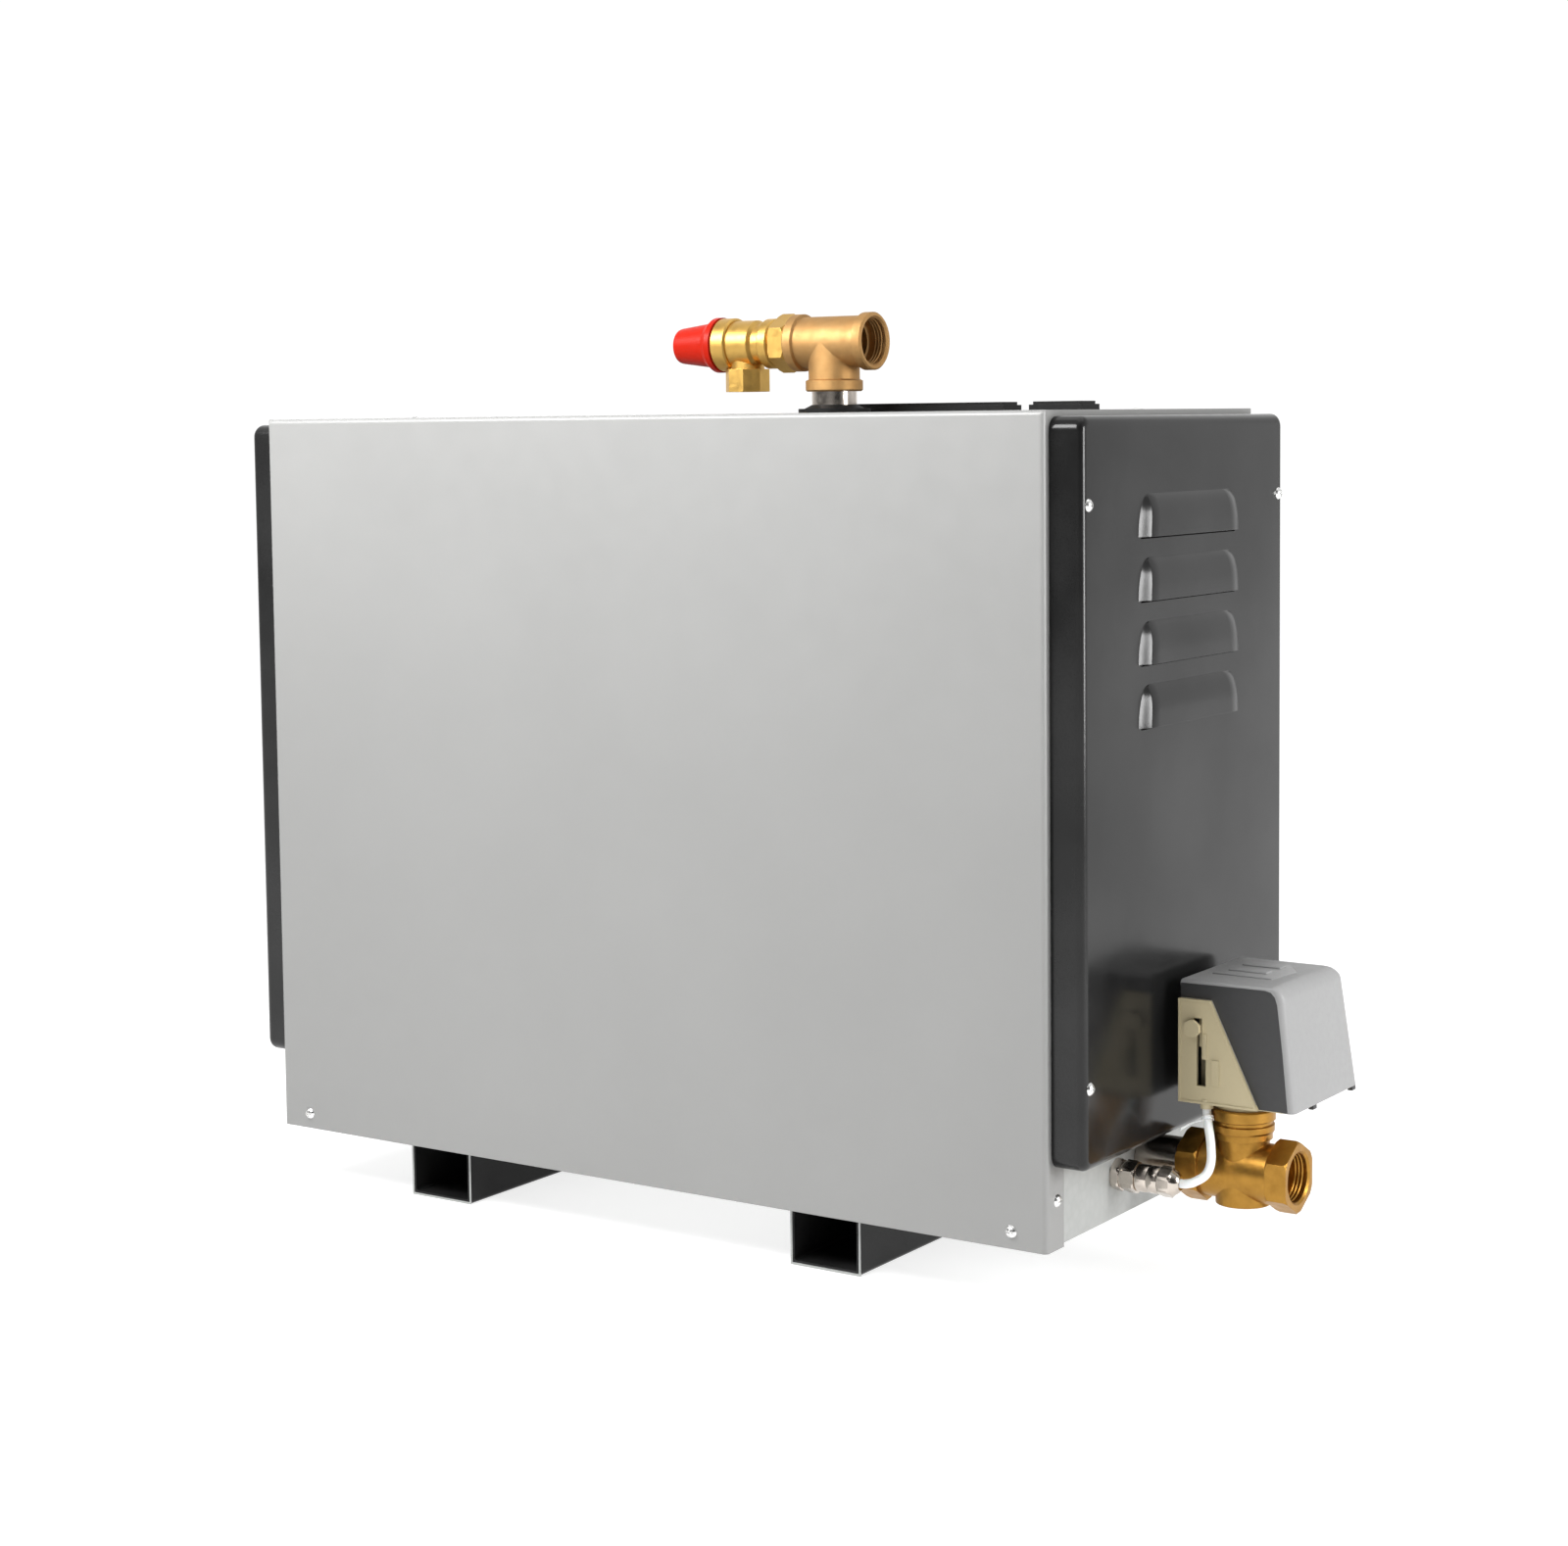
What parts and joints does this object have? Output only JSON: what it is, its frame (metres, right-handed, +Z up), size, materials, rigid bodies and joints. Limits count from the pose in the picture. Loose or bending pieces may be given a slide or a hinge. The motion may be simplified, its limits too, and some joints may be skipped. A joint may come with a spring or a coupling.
{
  "type": "steam generator",
  "caption": "Steam generator for a sauna or steam room: a sheet metal cabinet on tube feet with a steam tee and safety valve on top and a motor driven drain valve at the side.",
  "frame": {"origin": "middle of the whole outline, on the floor", "axes": "+Z up, -Y towards the front panel, +X towards the drain valve"},
  "size_m": [0.7524, 0.3104, 0.6048],
  "materials": {
    "black_paint": "satin",
    "galvanised_steel": "matte",
    "zinc_steel": "polished",
    "silver_paint": "satin",
    "satin_black_paint": "satin",
    "black_plastic": "matte",
    "grey_plastic": "matte",
    "board_green": "satin",
    "stainless_steel": "brushed",
    "black_rubber": "matte",
    "brass": "satin",
    "tee_brass": "satin",
    "valve_brass": "satin",
    "nickel_brass": "satin",
    "ceramic_white": "matte",
    "spring_steel": "polished",
    "red_plastic": "satin",
    "beige_plastic": "matte",
    "dark_grey_plastic": "matte",
    "light_grey_plastic": "matte",
    "white_plastic": "matte",
    "white_cable": "matte"
  },
  "bodies": {
    "casing": {"foot_left": "black_paint", "foot_right": "black_paint", "base_tray": "galvanised_steel", "foot_bolts": "zinc_steel", "corner_frame": "galvanised_steel", "front_panel": "silver_paint", "back_panel": "silver_paint", "top_panel": "silver_paint", "left_side_cover": "satin_black_paint", "right_side_cover": "satin_black_paint", "side_cover_screws": "zinc_steel", "panel_screws": "zinc_steel", "long_top_cover": "black_plastic", "short_top_cover": "black_plastic", "partition": "galvanised_steel", "component_plate": "galvanised_steel", "mounting_rails": "zinc_steel", "contactors": "grey_plastic", "terminal_block": "grey_plastic", "control_board": "board_green", "tank": "stainless_steel", "tank_stand": "stainless_steel", "lid_gasket": "black_rubber", "tank_lid": "stainless_steel", "lid_bolts": "zinc_steel", "element_flange": "brass", "element_bolts": "zinc_steel", "heating_elements": "stainless_steel", "element_terminals": "ceramic_white", "level_probe": "stainless_steel", "thermostat": "grey_plastic", "steam_nipple": "nickel_brass", "top_seal": "black_rubber", "outlet_tee": "tee_brass", "safety_adapter": "brass", "safety_body": "brass", "safety_bonnet": "brass", "safety_spring": "spring_steel", "drain_pipe": "stainless_steel", "drain_nipple": "nickel_brass", "drain_valve_body": "valve_brass", "drain_valve_bonnet": "valve_brass", "stem_spring": "spring_steel", "actuator_base": "beige_plastic", "actuator_end_panel": "dark_grey_plastic", "actuator_cover": "light_grey_plastic", "actuator_motor": "zinc_steel", "cable_gland": "nickel_brass", "actuator_lead": "white_cable", "water_inlet": "brass", "inlet_valve_body": "brass", "inlet_coil": "black_plastic", "feed_pipe": "stainless_steel", "mains_gland": "black_plastic"},
    "safety_spindle": {"safety_spindle": "stainless_steel"},
    "safety_cap": {"safety_cap": "red_plastic"},
    "camshaft": {"actuator_camshaft": "white_plastic"},
    "lever": {"hand_lever": "beige_plastic"},
    "stem": {"drain_stem": "stainless_steel"},
    "plunger": {"inlet_plunger": "stainless_steel"}
  },
  "joints": [
    {"name": "safety_lift", "type": "slide", "parent": "casing", "child": "safety_spindle", "axis": [-1, 0, 0], "range_m": [0, 0.0025], "stiffness_N_per_m": 4000},
    {"name": "safety_cap_turn", "type": "hinge", "parent": "safety_spindle", "child": "safety_cap", "pos_m": [-0.07025, -0.01775, 0.5852], "axis": [-1, 0, 0], "range_deg": [0, 90]},
    {"name": "drain_lever_slide", "type": "slide", "parent": "casing", "child": "lever", "axis": [0, 0, -1], "range_m": [0, 0.03], "stiffness_N_per_m": 300},
    {"name": "drain_camshaft_turn", "type": "hinge", "parent": "casing", "child": "camshaft", "pos_m": [0.33475, -0.02275, 0.15], "axis": [1, 0, 0], "range_deg": [0, 143.24]},
    {"name": "drain_stem_slide", "type": "slide", "parent": "casing", "child": "stem", "axis": [0, 0, -1], "range_m": [0, 0.004], "deforming": ["stem_spring"]},
    {"name": "inlet_plunger_slide", "type": "slide", "parent": "casing", "child": "plunger", "axis": [0, 0, 1], "range_m": [0, 0.003], "stiffness_N_per_m": 600}
  ],
  "couplings": [
    {"joint": "safety_cap_turn", "follows": "safety_lift", "rad_per_m": 628.32},
    {"joint": "drain_camshaft_turn", "follows": "drain_lever_slide", "rad_per_m": 83.333},
    {"joint": "drain_stem_slide", "follows": "drain_lever_slide", "ratio": 0.13333}
  ]
}
